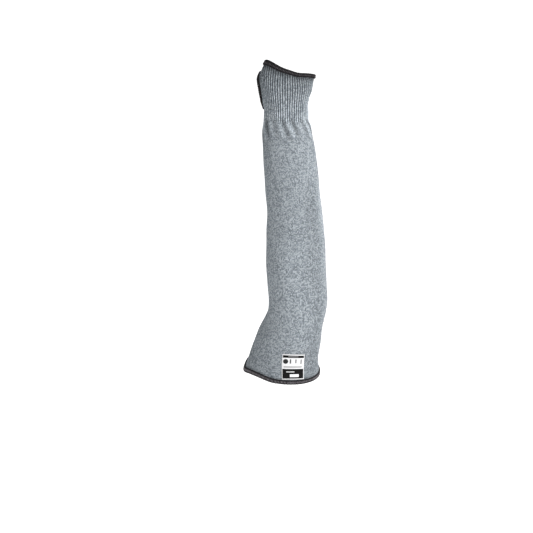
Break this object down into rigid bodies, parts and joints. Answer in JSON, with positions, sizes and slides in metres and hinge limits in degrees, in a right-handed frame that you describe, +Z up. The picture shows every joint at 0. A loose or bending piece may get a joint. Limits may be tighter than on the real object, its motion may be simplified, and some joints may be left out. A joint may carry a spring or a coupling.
{
  "type": "knitted protective arm sleeve with ribbed cuff and thumb opening",
  "caption": "Hollow knitted arm guard from palm to upper arm, with a ribbed cuff, a thumb opening, dark bound edges and a small patch, in its worn shape.",
  "frame": {"origin": "centre of the upper-arm opening, halfway up its hem", "axes": "+Z up the arm towards the hand, +X towards the point of the elbow, -X the side of the thumb, -Y the back of the hand"},
  "size_m": [0.1197, 0.1703, 0.4505],
  "materials": {
    "grey_knit": "matt heather plain knit",
    "grey_rib": "matt heather rib knit",
    "black_binding": "overlocked thread",
    "patch": "heat-set woven patch"
  },
  "bodies": {
    "root": {"sleeve_body": "grey_knit", "ribbed_cuff": "grey_rib", "upper_arm_hem": "black_binding", "palm_hem": "black_binding", "thumb_hem": "black_binding", "label": "patch"}
  },
  "joints": []
}
